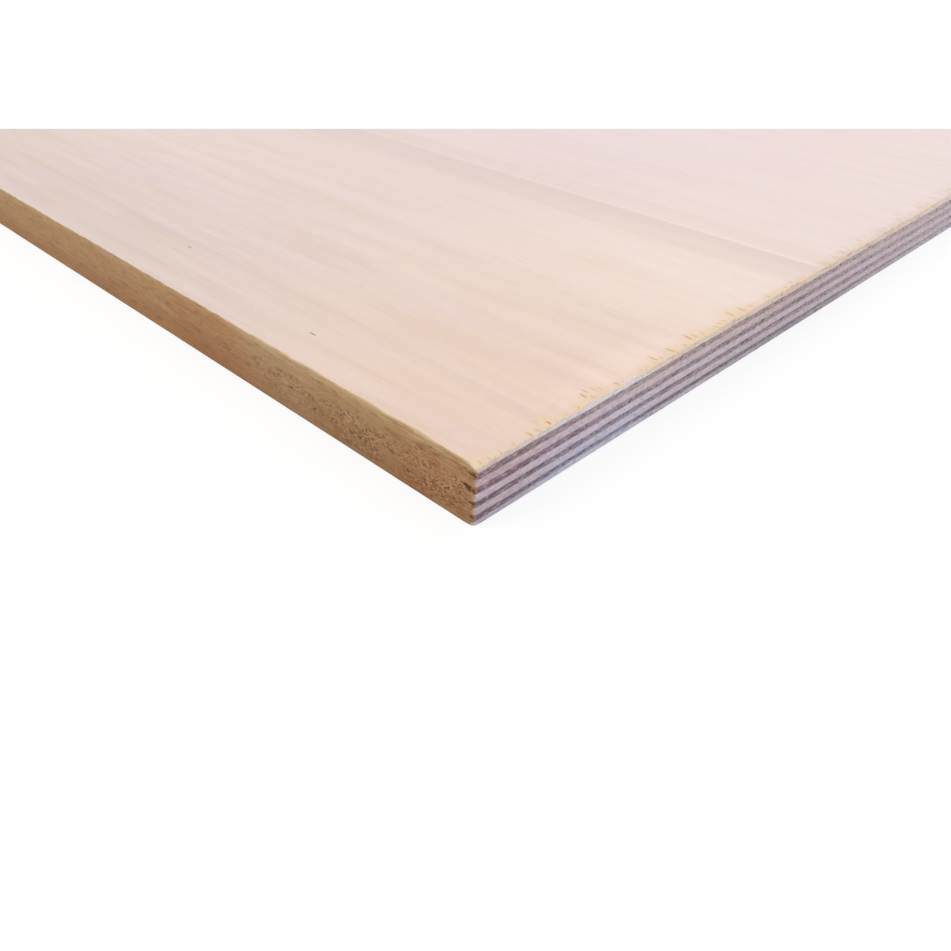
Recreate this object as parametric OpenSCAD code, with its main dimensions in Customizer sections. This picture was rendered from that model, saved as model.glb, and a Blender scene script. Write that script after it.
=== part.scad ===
// Plywood sheet: an odd number of veneers glued face to face, each with its
// grain square to the grain of the next, trimmed as one board.
// Origin at the middle of the back, +X along the grain of the faces, +Z up.

/* [Sheet] */
// Length of the sheet, along the grain of its faces
sheet_l = 2440; // [600:10:3660]
// Width of the sheet, across the grain of its faces
sheet_w = 1220; // [300:10:1830]

/* [Veneers] */
// Number of veneers, odd so that the face and the back have the same grain
veneer_count = 9; // [3:2:13]
// Thickness of the face veneer, the better side
face_t = 2; // [0.8:0.05:3]
// Thickness of the back veneer, sanded thinner than the face
back_t = 1.6; // [0.8:0.05:3]
// Thickness of an inner veneer with its grain along the sheet
long_t = 2.2; // [1:0.05:4]
// Thickness of a cross veneer, with its grain across the sheet
cross_t = 1.95; // [1:0.05:4]

/* [Edges] */
// Radius worn on the long and end arrises of the face and the back
arris_r = 0.6; // [0.2:0.05:1.4]
// Radius of the four upright corners of the sheet
corner_r = 1; // [0.5:0.5:20]

/* [Hidden] */
$fn = 48;
cross_numbers = [for (n = [2 : 2 : veneer_count - 1]) n];
long_numbers = [for (n = [3 : 2 : veneer_count - 2]) n];
sheet_t = face_t + len(cross_numbers) * cross_t + len(long_numbers) * long_t + back_t;
edge_r = min(arris_r, 0.45 * sheet_t);

// Veneers are numbered from the face, which is number 1, down to the back.
function cross_name(n) = str("cross_veneer_", n);
function long_name(n) = str("long_veneer_", n);
function veneer_t(n) =
    n == 1 ? face_t
    : n == veneer_count ? back_t
    : n % 2 == 0 ? cross_t
    : long_t;
function veneer_top(n) = n == 1 ? sheet_t : veneer_top(n - 1) - veneer_t(n - 1);

// Rectangle about the origin with a true arc of radius r at each corner.
module rounded_rectangle(size, r) {
    square([size.x - 2 * r, size.y], center = true);
    square([size.x, size.y - 2 * r], center = true);
    for (sx = [-1, 1], sy = [-1, 1])
        translate([sx * (size.x / 2 - r), sy * (size.y / 2 - r)])
            circle(r);
}

// The trimmed board: what the plan, the section across the sheet and the
// section along it have in common, so every arris is rounded to the same radius.
module trimmed_board() {
    intersection() {
        linear_extrude(sheet_t)
            rounded_rectangle([sheet_l, sheet_w], corner_r);
        translate([0, 0, sheet_t / 2])
            rotate([90, 0, 90])
                linear_extrude(sheet_l, center = true)
                    rounded_rectangle([sheet_w, sheet_t], edge_r);
        translate([0, 0, sheet_t / 2])
            rotate([90, 0, 0])
                linear_extrude(sheet_w, center = true)
                    rounded_rectangle([sheet_l, sheet_t], edge_r);
    }
}

// Veneer n: the layer of the trimmed board between its two glue lines.
module veneer(n) {
    intersection() {
        trimmed_board();
        translate([0, 0, veneer_top(n) - veneer_t(n) / 2])
            cube([2 * sheet_l, 2 * sheet_w, veneer_t(n)], center = true);
    }
}

module face_veneer() {
    color("#e6d0c4") veneer(1);
}

module cross_veneer(n) {
    color("#86707a") veneer(n);
}

module long_veneer(n) {
    color("#b8adb6") veneer(n);
}

module back_veneer() {
    color("#d9c2b2") veneer(veneer_count);
}

face_veneer();
for (n = cross_numbers)
    cross_veneer(n);
for (n = long_numbers)
    long_veneer(n);
back_veneer();
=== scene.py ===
"""Looks of a nine-veneer plywood sheet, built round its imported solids.

Metres throughout. X runs along the sheet and the grain of its face, Y across it, Z up from the back.
The corner that the photograph shows is at +X, -Y.
"""

import math

import bmesh
import bpy
import numpy as np
from mathutils import Matrix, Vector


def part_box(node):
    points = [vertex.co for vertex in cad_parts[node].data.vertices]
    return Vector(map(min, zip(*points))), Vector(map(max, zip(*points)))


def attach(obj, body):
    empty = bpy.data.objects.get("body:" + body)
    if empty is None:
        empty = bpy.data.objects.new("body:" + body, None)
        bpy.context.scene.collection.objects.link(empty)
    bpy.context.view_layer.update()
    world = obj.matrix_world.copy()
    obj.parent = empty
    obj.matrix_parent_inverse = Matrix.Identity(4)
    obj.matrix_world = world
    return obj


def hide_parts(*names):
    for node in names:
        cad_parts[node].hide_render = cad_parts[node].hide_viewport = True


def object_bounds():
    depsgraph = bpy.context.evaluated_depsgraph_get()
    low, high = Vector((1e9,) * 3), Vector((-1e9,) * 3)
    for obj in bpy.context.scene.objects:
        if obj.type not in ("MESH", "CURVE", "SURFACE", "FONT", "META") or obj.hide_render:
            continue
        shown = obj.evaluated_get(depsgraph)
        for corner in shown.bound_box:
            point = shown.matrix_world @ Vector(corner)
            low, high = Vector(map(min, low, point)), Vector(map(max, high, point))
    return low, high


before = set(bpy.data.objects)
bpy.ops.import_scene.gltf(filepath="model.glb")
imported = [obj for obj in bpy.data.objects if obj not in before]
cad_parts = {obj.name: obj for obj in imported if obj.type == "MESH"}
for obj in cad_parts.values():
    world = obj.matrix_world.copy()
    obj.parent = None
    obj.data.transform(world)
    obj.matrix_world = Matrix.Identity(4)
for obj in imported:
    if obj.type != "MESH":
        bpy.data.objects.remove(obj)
cad_low, cad_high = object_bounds()

MM = 0.001
HALF_L, HALF_W, SHEET_T = cad_high.x, cad_high.y, cad_high.z
CORNER_R = 1.0 * MM
VENEERS = (
    "face_veneer", "cross_veneer_2", "long_veneer_3", "cross_veneer_4", "long_veneer_5",
    "cross_veneer_6", "long_veneer_7", "cross_veneer_8", "back_veneer",
)
GLUE_LINES = [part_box(name)[0].z for name in VENEERS[:-1]]

# Saw cuts: how far the foot of an end lies in from its top, and the run over which the ends are sheared to it.
END_LEAN = 1.2 * MM
LEAN_RUN = 40 * MM
# Depth of the torn rows of the long edges, of the gaps in the ends and of the splits in the face; half height of the
# gaps, and the spacing of the tears along the ends.
TORN_DEPTH, GAP_DEPTH, SPLIT_DEPTH = 0.2 * MM, 0.8 * MM, 0.25 * MM
GAP_HALF_HEIGHT = 0.5 * MM
TEAR_SPACING = 24 * MM


# Outline of the sheet

def graded(length, places, steps, samples=20001):
    """Stations from 0 to length. The step follows `steps`, read at `places`: the running sum of 1 / step,
    turned round, gives the place of each whole station."""
    t = np.linspace(0, length, samples)
    density = 1 / np.interp(t, places, steps)
    run = np.concatenate([[0], np.cumsum((density[1:] + density[:-1]) / 2 * np.diff(t))])
    return np.interp(np.linspace(0, run[-1], int(round(run[-1])) + 1), run, t)


def sheet_outline(arc_steps=8):
    """Plan of the sheet, counter-clockwise from the photographed corner: each side is a straight run of stations,
    fine beside that corner, and a quarter circle of radius CORNER_R joins it to the next side.
    The two long sides share their stations. Returns the points and their outward normals."""
    long_run = 2 * (HALF_L - CORNER_R)
    end_run = 2 * (HALF_W - CORNER_R)
    near = [0, 0.06, 0.14, 0.33, 0.5]
    long_steps = np.array([0.3, 0.4, 0.7, 1.0, 6, 6, 0.6]) * MM
    end_steps = np.array([0.25, 0.3, 0.4, 1.0, 2.5, 2.5, 0.6]) * MM
    far_steps = np.array([0.6, 2.5, 2.5, 0.6]) * MM
    long_stations = graded(long_run, near + [long_run - 0.03, long_run], long_steps)
    end_stations = graded(end_run, near + [end_run - 0.03, end_run], end_steps)
    far_stations = graded(end_run, [0, 0.03, end_run - 0.03, end_run], far_steps)
    sides = (end_stations, long_stations, far_stations, long_run - long_stations[::-1])
    points, normals = [], []
    for quarter, stations in enumerate(sides):
        a = quarter * math.pi / 2
        out = np.round([math.cos(a), math.sin(a)])
        along = np.round([-math.sin(a), math.cos(a)])
        reach = HALF_L if quarter % 2 == 0 else HALF_W
        middle = (end_run if quarter % 2 == 0 else long_run) / 2
        points.append(out * reach + along * (stations - middle)[:, None])
        normals.append(np.repeat(out[None], len(stations), 0))
        turn = a + math.pi / 2 * np.arange(1, arc_steps) / arc_steps
        arc = np.stack([np.cos(turn), np.sin(turn)], -1)
        centre = np.sign(out + along) * [HALF_L - CORNER_R, HALF_W - CORNER_R]
        points.append(centre + CORNER_R * arc)
        normals.append(arc)
    return np.concatenate(points), np.concatenate(normals)


def past_corner():
    """How far each station lies from the middle of its corner along the outline: above 0 on the ends, below 0 on
    the long edges. On the corner's arc this is radius times angle, and the straight run past the arc is added."""
    beyond_x = np.abs(OUTLINE[:, 0]) - HALF_L + CORNER_R
    beyond_y = np.abs(OUTLINE[:, 1]) - HALF_W + CORNER_R
    angle = np.arctan2(np.clip(beyond_y, 0, None), np.clip(beyond_x, 0, None))
    return CORNER_R * (math.pi / 4 - angle) - np.clip(beyond_y, None, 0) + np.clip(beyond_x, None, 0)


OUTLINE, NORMAL = sheet_outline()
GAP = np.linalg.norm(np.roll(OUTLINE, -1, 0) - OUTLINE, axis=1)
RUN = np.concatenate([[0], np.cumsum(GAP)[:-1]])
PAST_CORNER = past_corner()
# 1 on the ends, 0 on the long edges; and how much of the fine relief the spacing of the stations can carry.
ON_END = np.clip((np.abs(NORMAL[:, 0]) - 0.25) / 0.5, 0, 1)
CARRY = np.clip(0.8 * MM / (0.5 * (GAP + np.roll(GAP, 1)) + 0.2 * MM), 0.2, 1)


def waves(u, v, pitch_u, pitch_v, seed, count=26):
    """Smooth unevenness about 0 with unit spread: a sum of sine waves over (u, v), each with a seeded
    phase and a seeded frequency up to 1 / pitch either way."""
    rng = np.random.default_rng(seed)
    fu = rng.uniform(-1, 1, count) / pitch_u
    fv = rng.uniform(-1, 1, count) / pitch_v
    phase = rng.uniform(0, 2 * np.pi, count)
    angle = 2 * np.pi * (np.asarray(u)[..., None] * fu + np.asarray(v)[..., None] * fv) + phase
    return np.sin(angle).sum(-1) * math.sqrt(2 / count)


def ripple(pitch, seed):
    """Waves along the outline alone, one value for each station."""
    return waves(RUN, 0 * RUN, pitch, 1, seed)


def ring(inset):
    """Outline moved in by `inset`, rows by stations: along the normal up to the corner radius, and held inside
    the rectangle that lies `inset` from the sides, so the last ring is a line down the middle of the sheet."""
    inner = OUTLINE - np.minimum(inset, CORNER_R)[..., None] * NORMAL
    limit = np.stack([HALF_L - inset, HALF_W - inset], -1)
    return np.clip(inner, -limit, limit)


def leaned(x, z):
    """x sheared towards the middle near the ends, by END_LEAN at the foot of the cut and nothing at its top."""
    near = np.clip((np.abs(x) - HALF_L + LEAN_RUN) / LEAN_RUN, 0, 1)
    return x - np.sign(x) * END_LEAN * near * (1 - z / SHEET_T)


# Relief of the edges and the face

# Chips broken out of the cross veneers beside the corners, on the long edges: veneer number, mm in from the end,
# mm above the middle of the veneer, half length and half height in mm, depth in mm.
CORNER_CHIPS = (
    (2, 1.2, 0.0, 1.1, 0.95, 0.65), (4, 0.9, -0.4, 1.0, 0.6, 0.5), (4, 2.7, 0.0, 1.3, 0.9, 0.65),
    (6, 0.9, 0.1, 1.2, 0.5, 0.5), (8, 0.8, 0.1, 1.1, 0.5, 0.45),
)
# Gaps in the cross veneers that show on an end: veneer number, m from the front long edge, half length in mm.
END_GAPS = ((6, 0.117, 1.0), (4, 0.486, 1.8), (2, 0.731, 1.4), (6, 0.942, 2.2), (8, 1.083, 1.5))
# Torn rows of the long edges beside the photographed corner: mm in from the right end, mm below the face, half length
# and half height in mm, strength.
TORN_ROWS = (
    (75, 9.0, 18, 1.3, 1), (64, 12.4, 7, 1.3, 1), (57, 11.4, 4, 1.0, 1), (51.5, 13.6, 3, 1.2, 1),
    (46, 9.0, 5, 1.0, 1), (48, 12.0, 8, 0.9, 1), (42, 6.4, 6, 0.7, 1), (38, 9.6, 6, 1.8, 1), (37.5, 13.8, 3, 1.1, 1),
    (30, 9.5, 7, 1.6, 1), (26, 6.6, 4, 0.7, 1), (21, 13.5, 8, 1.8, 1), (20, 4.7, 2.6, 1.5, 1), (20, 8.2, 7, 1.4, 1),
    (9, 12.0, 10, 4.5, 1), (7, 7.0, 5, 1.5, 1), (45, 8.0, 16, 2.8, 0.8), (44, 12.2, 15, 2.5, 0.75),
    (46, 15.5, 15, 1.4, 0.6), (16, 9.5, 16, 5.5, 0.55), (78, 8.0, 22, 3, 0.5), (78, 13, 18, 3, 0.4),
    (110, 9, 14, 4, 0.3), (17, 15.8, 15, 1.2, 0.8),
)
# Tears in the face along the photographed end: mm in from the front long edge, half width and reach in mm.
NEAR_TEARS = np.array([
    (3.5, 3, 4.5), (8, 2, 1.5), (12.5, 2.5, 2.2), (18.5, 3, 3), (21.5, 2, 1.8), (25.5, 3, 6.5), (31.5, 2, 2),
    (35.5, 3, 3.2), (41, 2.4, 6), (43.5, 2, 7), (46, 2.2, 6), (52, 2, 2.6), (63.5, 4, 3.2), (69.5, 2.5, 4.5),
    (77.5, 3.2, 4.6), (82.5, 2, 2.4), (87.5, 3.4, 6), (92.5, 3, 4.2), (97, 2.5, 2.6), (102, 3, 4.2),
    (108.5, 3.2, 7.5), (113, 3, 5.5), (117.8, 2, 3.6), (128, 4.5, 3.4), (136, 3, 2.4), (142, 2.4, 2.8),
    (147, 2.5, 2.2), (153, 2, 1.4),
])
# Splits in those tears: mm in from the front long edge, mm in from the end, length and half width in mm, strength.
NEAR_SPLITS = np.array([
    (4.6, 0.3, 1.2, 0.3, 0.5), (8.2, 0.3, 0.8, 0.3, 0.3), (12.6, 0.3, 1.4, 0.28, 0.5), (18.4, 0.3, 1.8, 0.34, 0.6),
    (21.5, 0.1, 1.0, 0.3, 0.4), (25.4, 0.4, 1.6, 0.4, 0.9), (27.6, 0.6, 1.0, 0.25, 0.5), (31, 0.3, 0.8, 0.25, 0.4),
    (36, 0.3, 0.9, 0.3, 0.5), (40.9, 2.4, 2.2, 0.3, 0.9), (43, 3.8, 2.0, 0.28, 0.8), (45.4, 2.6, 1.8, 0.28, 0.6),
    (46.6, 2.0, 1.8, 0.25, 0.5), (52, 0.5, 1.8, 0.32, 0.8), (69.7, 1.4, 2.8, 0.32, 0.8), (71.5, 0.6, 1.6, 0.3, 0.4),
    (76.8, 0.8, 2.8, 0.38, 0.7), (82.3, 0.3, 1.4, 0.3, 0.5), (86.4, 1.6, 3.4, 0.36, 0.9), (88.6, 1.0, 2.4, 0.3, 0.6),
    (91.5, 0.6, 1.8, 0.3, 0.4), (96.2, 0.3, 1.2, 0.3, 0.4), (108, 1.4, 3.2, 0.34, 0.6), (113.2, 1.0, 2.8, 0.38, 0.7),
    (117.4, 1.0, 1.8, 0.35, 0.5), (127, 0.5, 1.8, 0.34, 0.5), (137, 0.4, 1.6, 0.3, 0.4), (146.8, 0.5, 1.8, 0.34, 0.5),
    (97.6, 0.8, 1.4, 0.5, 0.4), (100.4, 1.0, 1.4, 0.5, 0.4), (103, 1.2, 1.2, 0.4, 0.35), (142, 1.3, 1.8, 0.6, 0.3),
    (149, 0.8, 1.6, 0.5, 0.3),
])


def torn_edge(z):
    """How torn the long edges are at each point, 0 to 1: ellipses with soft outlines about the torn rows beside the
    photographed corner, and thresholded waves in rows further along."""
    from_right, below = (HALF_L - OUTLINE[:, 0]) / MM, (SHEET_T - z) / MM
    torn = 0 * z
    for along, down, half_length, half_height, strength in TORN_ROWS:
        off = ((from_right - along) / half_length) ** 2 + ((below - down) / half_height) ** 2
        torn = np.maximum(torn, strength * np.clip((1.3 - off) / 1.1, 0, 1))
    run = np.broadcast_to(RUN, z.shape)
    stretch = np.clip(ripple(0.22, 7) - 0.9, 0, 1) * np.clip(from_right / 150 - 2, 0, 1)
    in_rows = np.clip(waves(run, z, 0.03, 5 * MM, 8) + 0.3, 0, 1) * np.clip(below / 6 - 0.5, 0, 1)
    return np.maximum(torn, 1.5 * stretch * in_rows) * (1 - ON_END)


def edge_relief(number, share, z):
    """How far each point of a veneer's edge lies in from the outline, and how far it is a pit or a chip, 0 to 1.
    `share` runs from 0 at the upper glue line to 1 at the lower one. The inset is fine waves that follow the
    grain, plus a groove towards each glue line, plus thresholded waves where the edge is torn, plus half ellipsoids
    with wavy outlines for chips and gaps."""
    run = np.broadcast_to(RUN, z.shape)
    y = np.broadcast_to(OUTLINE[:, 1], z.shape)
    from_end = HALF_L - np.abs(np.broadcast_to(OUTLINE[:, 0], z.shape))
    cross = number % 2 == 0
    fibres = waves(run, z, 7 * MM, 0.45 * MM, 40 + number) * 0.5
    fibres = fibres + waves(run, z, 1.4 * MM, 0.4 * MM, 60 + number) * 0.5
    pores = waves(run, z, 0.9 * MM, 0.6 * MM, 80 + number)
    along = ON_END if cross else 1 - ON_END
    rough = np.where(along > 0.5, fibres * (0.045 if cross else 0.03), pores * (0.035 if cross else 0.02)) * CARRY
    sunk = np.where(ON_END > 0.5, 0.08 if cross else 0.04, 0.05)
    groove = 0.05 * np.clip((np.abs(2 * share - 1) - 0.8) / 0.2, 0, 1) ** 2
    inset = (np.clip(sunk + rough, 0, None) + groove) * MM

    torn = np.clip((waves(run, z, 2.0 * MM, 0.9 * MM, 11, 40) - 0.7) / 0.8, 0, 1) * torn_edge(z) * CARRY
    inset = inset + TORN_DEPTH * torn
    pit = 0.35 * torn

    if cross:
        middle = (GLUE_LINES[number - 2] + GLUE_LINES[number - 1]) / 2
        ragged = 0.35 * waves(run, z, 1.2 * MM, 1.0 * MM, 90 + number)
        for chip_number, away, up, half_x, half_z, depth in CORNER_CHIPS:
            if chip_number == number:
                dome = 1 - ((from_end / MM - away) / half_x) ** 2 - (((z - middle) / MM - up) / half_z) ** 2
                dome = np.sqrt(np.clip(dome + ragged, 0, 1)) * (dome > -0.9) * np.clip(1.3 - ON_END, 0, 1)
                inset = np.maximum(inset, depth * MM * dome)
                pit = np.maximum(pit, np.clip(dome * 2, 0, 1))
        for gap_number, across, half_y in END_GAPS:
            if gap_number == number:
                dome = 1 - ((y + HALF_W - across) / MM / half_y) ** 2 - ((z - middle) / GAP_HALF_HEIGHT) ** 2
                dome = np.sqrt(np.clip(dome, 0, 1)) * (ON_END > 0.9)
                inset = np.maximum(inset, GAP_DEPTH * dome)
                pit = np.maximum(pit, 0.75 * dome)
    return inset, pit


def tear_places():
    """Tears along both ends: which end (1 or -1), y, half width and reach. Beside the photographed corner they have
    their own places, and elsewhere they are about TEAR_SPACING apart with seeded places and sizes."""
    rng = np.random.default_rng(5)
    rest = np.arange(-HALF_W + 0.17, HALF_W, TEAR_SPACING)
    other = np.arange(-HALF_W + 0.01, HALF_W, TEAR_SPACING)
    loose = np.concatenate([rest, other])
    y = np.concatenate([NEAR_TEARS[:, 0] * MM - HALF_W, loose + rng.normal(0, 5 * MM, len(loose))])
    half = np.concatenate([NEAR_TEARS[:, 1] * MM, rng.uniform(3.0, 6.0, len(loose)) * MM])
    reach = np.concatenate([NEAR_TEARS[:, 2] * MM, rng.uniform(1.5, 5.0, len(loose)) * MM])
    end = np.concatenate([np.ones(len(NEAR_TEARS) + len(rest)), -np.ones(len(other))])
    return end, y, half, reach


TEARS = tear_places()


def torn_share(x, y):
    """How torn the face is at each point, 0 to 1: about each tear a bell across the grain times a ramp that runs
    out along the grain at the tear's reach. The strongest tear counts."""
    end, centre, half, reach = TEARS
    away = HALF_L - x[..., None] * end
    bell = np.exp(-(((y[..., None] - centre) / half) ** 2))
    return (bell * np.clip(1.4 - 1.4 * away / reach, 0, 1)).max(-1)


def split_share(x, y):
    """How far each point lies in a split, 0 to 1: a ridge across each split, leaning a little off the grain, times a
    run that starts at the split's place and fades out at its length."""
    centre, start, length, width = NEAR_SPLITS[:, :4].T * MM
    slant = np.random.default_rng(17).uniform(-0.2, 0.2, len(centre))
    away = HALF_L - x[..., None]
    ridge = np.clip(1.1 - np.abs(y[..., None] + HALF_W - centre + slant * (away - start)) / width, 0, 1)
    run = np.clip((away - start) / (0.25 * MM) + 0.5, 0, 1) * np.clip((start + length - away) / (0.5 * MM), 0, 1)
    return (ridge * run * NEAR_SPLITS[:, 4]).max(-1)


def torn_fibres(x, y):
    """Torn share and split share of the face, worked out only within 10 mm of the ends."""
    torn, split = np.zeros_like(x), np.zeros_like(x)
    close = HALF_L - np.abs(x) < 10 * MM
    torn[close] = torn_share(x[close], y[close])
    split[close] = split_share(x[close], y[close])
    return torn, split


def at_corner(reach):
    """Bell along the outline: 1 at the middle of each corner, fading over `reach`."""
    return np.exp(-((PAST_CORNER / reach) ** 2))


def face_arris():
    """Radius of the worn arris of the face: about 0.6 mm on the long edges and 0.45 mm on the ends, with waves,
    and larger where the end is torn and at the corners."""
    fine = (0.05 + 0.06 * ON_END) * CARRY
    wear = ripple(0.03, 3) * 0.08 + ripple(0.004, 4) * fine
    torn = torn_share(OUTLINE[:, 0], OUTLINE[:, 1]) * ON_END
    return np.clip(0.6 - 0.15 * ON_END + wear + 0.4 * torn + 0.6 * at_corner(2.4 * MM), 0.25, 1.15) * MM


def back_arris():
    """Radius of the worn arris of the back: about 0.2 mm, with slow waves, and blunt at the corners."""
    return np.clip(0.2 + ripple(0.05, 13) * 0.03 + 0.5 * at_corner(1.6 * MM), 0.12, 0.7) * MM


# How far each glue line, from the face down, lies under its place in the solids along the photographed end: places in
# from the front long edge in m, and the drop at each in mm.
DROP_PLACES = (0, 0.01, 0.035, 0.066, 0.105, 0.146, 0.195, 0.25, 0.6)
GLUE_DROPS = (
    (0, -0.05, 0.17, 0.30, 0.42, 0.50, 0.55, 0.85, 0), (0, 0.15, 0.20, 0.23, 0.28, 0.32, 0.48, 0.76, 0),
    (0, 0.22, 0.35, 0.28, 0.24, 0.30, 0.60, 0.83, 0), (0, 0.22, 0.30, 0.18, 0.32, 0.42, 0.60, 0.87, 0),
    (0, 0.20, 0.34, 0.25, 0.25, 0.52, 0.60, 1.02, 0), (0, 0.15, 0.26, 0.10, 0.24, 0.38, 0.58, 0.93, 0),
    (0, 0.26, 0.20, 0.40, 0.52, 0.57, 0.60, 0.83, 0), (0, -0.10, -0.17, -0.10, -0.17, -0.22, -0.20, -0.05, 0),
)


def glue_height(i):
    """Height of glue line i at each station: its place in the solids plus long and short waves, less its drop."""
    sway = ripple(0.08, 21 + i) * 0.05 + ripple(0.012, 31 + i) * 0.04 * CARRY
    drop = np.interp(OUTLINE[:, 1] + HALF_W, DROP_PLACES, GLUE_DROPS[i]) * (NORMAL[:, 0] > 0.5)
    return GLUE_LINES[i] + (sway - drop) * MM


# Veneers

EDGE_SHARES = {True: (0, 0.07, 0.2, 0.35, 0.5, 0.65, 0.8, 0.93, 1), False: (0, 0.08, 0.3, 0.5, 0.7, 0.92, 1)}
CROWN_INSETS = np.array([14, 7.2, 5.8, 4.8, 3.9, 3.1, 2.5, 2.0, 1.6, 1.25]) * MM
ARRIS_TURN = np.radians([0, 22.5, 45, 67.5, 90])
# Points closer than MERGE are merged, edges shorter than SHORT dissolved, and those that turn more than SHARP stay
# sharp.
MERGE, SHORT, SHARP = 2e-7, 1e-8, math.radians(42)


def rows(values):
    """A column of row values spread over all stations."""
    return np.repeat(np.asarray(values, float)[:, None], len(RUN), 1)


def skin_profile(level, up, radius):
    """Rows of an outer veneer from the middle line out to the foot of its rounded arris: inset, height and how far
    each row is skin (1) or edge (0). The arris is a quarter circle: inset r (1 - sin a), drop r (1 - cos a). Skin
    reaches further down it at the corners, and less far on the long edges about 0.1 to 0.2 m in from the ends."""
    turn = ARRIS_TURN[:, None]
    inset = np.concatenate([rows([HALF_W]), rows(CROWN_INSETS), radius * (1 - np.sin(turn))])
    drop = np.concatenate([rows(np.zeros(1 + len(CROWN_INSETS))), radius * (1 - np.cos(turn))])
    skin = rows(np.concatenate([np.ones(1 + len(CROWN_INSETS)), 1 - ARRIS_TURN / (np.pi / 2)]))
    from_end = HALF_L - np.abs(OUTLINE[:, 0])
    along = np.clip((from_end - 0.06) / 0.07, 0, 1) * (1 - ON_END)
    far = np.clip((from_end - 0.17) / 0.06, 0, 1) * (1 - ON_END)
    reach = 0.45 * at_corner(2.6 * MM) - 0.25 * along + 0.25 * far
    return inset, level - up * drop, skin + 4 * skin * (1 - skin) * reach


def veneer_profile(number):
    """Profile of a veneer, rows by stations, from the middle of its upper side out, down its edge and back in:
    inset, height, and the marks that its material reads. An outer veneer has a skin with a rounded arris on one
    side. Every other side is flat, in one row at the middle line, and ends at its glue line."""
    first, last = number == 1, number == len(VENEERS)
    middle, blank = rows([HALF_W]), rows([0])
    if first:
        radius = face_arris()
        start, top, top_ply = SHEET_T - radius, skin_profile(SHEET_T, 1, radius), 0.5
    else:
        start, top_ply = glue_height(number - 2), 0
        top = middle, rows([GLUE_LINES[number - 2]]), blank
    if last:
        stop, foot_ply = back_arris(), 0.5
        foot = [part[::-1] for part in skin_profile(0, -1, stop)]
    else:
        stop, foot_ply = glue_height(number - 1), 1
        foot = middle, rows([GLUE_LINES[number - 1]]), blank
    shares = rows(EDGE_SHARES[number % 2 == 0])
    shares = shares[int(first):len(shares) - int(last)]
    depth_share = top_ply + (foot_ply - top_ply) * shares
    edge_z = start + (stop - start) * shares
    edge_inset, edge_pit = edge_relief(number, depth_share, edge_z)
    inset = np.concatenate([top[0], edge_inset, foot[0]])
    height = np.concatenate([top[1], edge_z, foot[1]])
    marks = {
        "skin": np.concatenate([top[2], 0 * edge_z, foot[2]]), "torn": 0 * inset, "split": 0 * inset,
        "pit": np.concatenate([0 * top[2], edge_pit, 0 * foot[2]]),
        "ply": np.concatenate([0 * top[2] + top_ply, depth_share, 0 * foot[2] + foot_ply]),
    }
    if first:
        at = ring(inset)
        upward = np.clip((height - SHEET_T + 1.2 * MM) / (0.6 * MM), 0, 1)
        marks["torn"], marks["split"] = (share * upward for share in torn_fibres(at[..., 0], at[..., 1]))
        height = height - SPLIT_DEPTH * marks["split"]
    marks["crumbly"] = torn_edge(height)
    marks["past_corner"] = np.broadcast_to(np.clip(PAST_CORNER / MM, -6, 6), inset.shape)
    return inset, height, marks


def veneer_mesh(name, number):
    """Closed veneer: its profile carried round the outline, every row a ring of the sheet, neighbouring rows and
    stations joined by quads. Points that the rings bring together are merged."""
    inset, height, marks = veneer_profile(number)
    at = ring(inset)
    points = np.stack([leaned(at[..., 0], height), at[..., 1], height], -1).reshape(-1, 3)
    i = np.arange(inset.size).reshape(inset.shape)
    j = np.roll(i, -1, 1)
    quads = np.stack([i[:-1], i[1:], j[1:], j[:-1]], -1).reshape(-1, 4)
    mesh = bpy.data.meshes.new(name)
    mesh.from_pydata(points, [], quads)
    for mark, values in marks.items():
        mesh.attributes.new(mark, "FLOAT", "POINT").data.foreach_set("value", values.astype(np.float32).ravel())
    work = bmesh.new()
    work.from_mesh(mesh)
    bmesh.ops.remove_doubles(work, verts=work.verts, dist=MERGE)
    bmesh.ops.dissolve_degenerate(work, edges=work.edges, dist=SHORT)
    work.to_mesh(mesh)
    work.free()
    mesh.shade_smooth()
    mesh.set_sharp_from_angle(angle=SHARP)
    return mesh


# Shader building blocks

# Tones of a cut end: beside the front corner and far from it, dark and light specks, and the tints of the middle
# veneers, the lower ones and the cool stretch.
TONE_NAMES = ("Near", "Far", "Dark", "Light", "Middle", "Lower", "Cool")
SOCKET_KINDS = {**dict.fromkeys(("Vector", "Size", "Speck"), "Vector"),
                **dict.fromkeys((*TONE_NAMES, "Color"), "Color")}
GRAIN_ROUGHNESS = 0.55
# Size in mm of a grain, along a way in which it hardly varies
EVEN = 400


def tone(red, green, blue):
    """Linear colour of an 8-bit display colour. As a tint it darkens below 255 and brightens above."""
    c = np.array([red, green, blue]) / 255
    return (*np.where(c <= 0.04045, c / 12.92, ((c + 0.055) / 1.055) ** 2.4).tolist(), 1.0)


def palette(*colours):
    return [tone(*colour) for colour in colours]


def is_socket(value):
    return isinstance(value, bpy.types.NodeSocket)


def tree_of(*values):
    """Node tree of the first socket among the values."""
    return next(value.id_data for value in values if is_socket(value))


def feed(made, inputs):
    """Links or sets the inputs of a node."""
    for key, value in inputs.items():
        if is_socket(value):
            made.id_data.links.new(value, made.inputs[key])
        else:
            made.inputs[key].default_value = value


def add(tree, kind, inputs=(), **settings):
    """New shader node. `inputs` maps a socket's name or number to another socket, or to a value."""
    made = tree.nodes.new("ShaderNode" + kind)
    for key, value in settings.items():
        setattr(made, key, value)
    feed(made, dict(inputs))
    return made


def calc(operation, a, b=0.0, clamp=False):
    return add(tree_of(a, b), "Math", {0: a, 1: b}, operation=operation, use_clamp=clamp).outputs[0]


def plus(a, b, clamp=False):
    return calc("ADD", a, b, clamp)


def less(a, b, clamp=False):
    return calc("SUBTRACT", a, b, clamp)


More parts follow.
